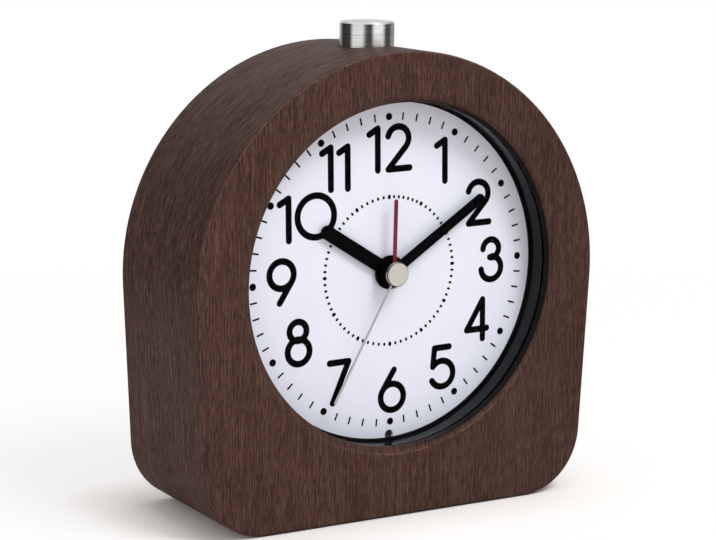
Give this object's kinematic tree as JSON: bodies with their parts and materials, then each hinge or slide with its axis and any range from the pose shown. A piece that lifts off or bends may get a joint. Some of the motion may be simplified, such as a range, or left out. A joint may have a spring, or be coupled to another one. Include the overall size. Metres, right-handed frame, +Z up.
{
  "type": "desk clock",
  "caption": "Arched wooden desk alarm clock with a round numbered dial under a clear lens and a metal snooze button on top.",
  "frame": {"origin": "middle of the base, on the surface that the clock stands on", "axes": "+Z up, +X to the right as seen from the front, +Y from the dial towards the back"},
  "size_m": [0.1, 0.037, 0.1077],
  "materials": {
    "walnut": "dark walnut veneer, satin",
    "clear_lens": "clear and smooth",
    "black_gloss": "black, glossy",
    "dial_white": "white satin print",
    "black_plastic": "moulded black",
    "cover_plastic": "moulded black, fine texture",
    "knob_plastic": "moulded dark grey",
    "white_plastic": "moulded white",
    "wheel_plastic": "moulded natural plastic",
    "bobbin_plastic": "moulded natural plastic",
    "hand_black": "black satin paint",
    "hand_red": "dark red satin paint",
    "hand_silver": "silver, satin",
    "cap_silver": "pale silver, satin",
    "spring_brass": "spring brass",
    "core_steel": "rolled sheet",
    "copper_wire": "enamelled copper wire",
    "board_green": "green lacquered board",
    "black_resin": "black resin",
    "bright_steel": "plated",
    "screw_steel": "plated",
    "button_steel": "brushed round its axis",
    "lamp_clear": "clear lamp body",
    "battery_sleeve": "plain printed sleeve",
    "lead_red": "insulated wire",
    "lead_white": "insulated wire"
  },
  "bodies": {
    "root": {"wood_case": "walnut", "lens": "clear_lens", "dial_ring": "black_gloss", "dial": "dial_white", "dial_carrier": "black_plastic", "front_plate": "white_plastic", "back_plate": "white_plastic", "alarm_contact": "spring_brass", "stator": "core_steel", "coil_core": "core_steel", "coil_bobbin": "bobbin_plastic", "coil_winding": "copper_wire", "circuit_board": "board_green", "controller_chip": "black_resin", "quartz_crystal": "bright_steel", "snooze_switch": "black_plastic", "buzzer": "black_plastic", "dial_lamp": "lamp_clear", "rear_cover": "cover_plastic", "battery": "battery_sleeve", "positive_contact": "bright_steel", "negative_contact": "bright_steel", "battery_leads": "lead_red", "lamp_leads": "lead_white", "buzzer_leads": "bright_steel", "alarm_switch_body": "black_plastic", "snooze_spring": "bright_steel", "rear_screws": "screw_steel", "movement_screws": "screw_steel", "board_screws": "screw_steel"},
    "second_hand_set": {"second_hand": "hand_silver", "second_hand_cap": "cap_silver", "second_wheel": "wheel_plastic"},
    "third_wheel": {"third_wheel": "wheel_plastic"},
    "centre_wheel": {"centre_wheel": "wheel_plastic"},
    "fifth_wheel": {"fifth_wheel": "wheel_plastic"},
    "rotor": {"rotor": "wheel_plastic"},
    "minute_hand_set": {"minute_hand": "hand_black", "cannon_pinion": "wheel_plastic"},
    "time_setting": {"minute_wheel": "wheel_plastic", "time_knob": "knob_plastic"},
    "hour_hand_set": {"hour_hand": "hand_black", "hour_wheel": "wheel_plastic"},
    "alarm_hand_set": {"alarm_hand": "hand_red", "alarm_wheel": "wheel_plastic"},
    "alarm_setting": {"alarm_pinion": "wheel_plastic", "alarm_knob": "knob_plastic"},
    "snooze_key": {"snooze_button": "button_steel", "snooze_plunger": "black_plastic", "snooze_clip": "bright_steel"},
    "alarm_slider": {"alarm_switch_slider": "knob_plastic"},
    "battery_hatch": {"battery_door": "cover_plastic"}
  },
  "joints": [
    {"name": "second_hand_turn", "type": "hinge", "parent": "root", "child": "second_hand_set", "pos_m": [0, 0, 0.0535], "axis": [0, 1, 0], "continuous": true},
    {"name": "third_wheel_turn", "type": "hinge", "parent": "root", "child": "third_wheel", "pos_m": [0, 0, 0.06574], "axis": [0, 1, 0], "continuous": true},
    {"name": "centre_wheel_turn", "type": "hinge", "parent": "root", "child": "centre_wheel", "pos_m": [0, 0, 0.0535], "axis": [0, 1, 0], "continuous": true},
    {"name": "fifth_wheel_turn", "type": "hinge", "parent": "root", "child": "fifth_wheel", "pos_m": [0.00668, 0, 0.06018], "axis": [0, 1, 0], "continuous": true},
    {"name": "rotor_turn", "type": "hinge", "parent": "root", "child": "rotor", "pos_m": [0.01345, 0, 0.06264], "axis": [0, 1, 0], "continuous": true},
    {"name": "minute_hand_turn", "type": "hinge", "parent": "root", "child": "minute_hand_set", "pos_m": [0, 0, 0.0535], "axis": [0, 1, 0], "continuous": true},
    {"name": "time_knob_turn", "type": "hinge", "parent": "root", "child": "time_setting", "pos_m": [-0.0132, 0, 0.0535], "axis": [0, 1, 0], "continuous": true},
    {"name": "hour_hand_turn", "type": "hinge", "parent": "root", "child": "hour_hand_set", "pos_m": [0, 0, 0.0535], "axis": [0, 1, 0], "continuous": true},
    {"name": "alarm_hand_turn", "type": "hinge", "parent": "root", "child": "alarm_hand_set", "pos_m": [0, 0, 0.0535], "axis": [0, 1, 0], "continuous": true},
    {"name": "alarm_knob_turn", "type": "hinge", "parent": "root", "child": "alarm_setting", "pos_m": [0.0128, 0, 0.0535], "axis": [0, 1, 0], "continuous": true},
    {"name": "snooze_press", "type": "slide", "parent": "root", "child": "snooze_key", "axis": [0, 0, -1], "range_m": [0, 0.0015], "stiffness_N_per_m": 500, "springref_m": -0.002, "deforming": ["snooze_spring"]},
    {"name": "alarm_switch_slide", "type": "slide", "parent": "root", "child": "alarm_slider", "axis": [1, 0, 0], "range_m": [0, 0.0035]},
    {"name": "battery_door_swing", "type": "hinge", "parent": "root", "child": "battery_hatch", "pos_m": [0, 0.01425, 0.0263], "axis": [-1, 0, 0], "range_deg": [0, 110]}
  ],
  "couplings": [
    {"joint": "third_wheel_turn", "follows": "second_hand_turn", "ratio": -0.13333},
    {"joint": "centre_wheel_turn", "follows": "second_hand_turn", "ratio": 0.016667},
    {"joint": "fifth_wheel_turn", "follows": "second_hand_turn", "ratio": -6},
    {"joint": "rotor_turn", "follows": "second_hand_turn", "ratio": 30},
    {"joint": "time_knob_turn", "follows": "minute_hand_turn", "ratio": -0.33333},
    {"joint": "hour_hand_turn", "follows": "minute_hand_turn", "ratio": 0.083333},
    {"joint": "alarm_knob_turn", "follows": "alarm_hand_turn", "ratio": -3}
  ]
}
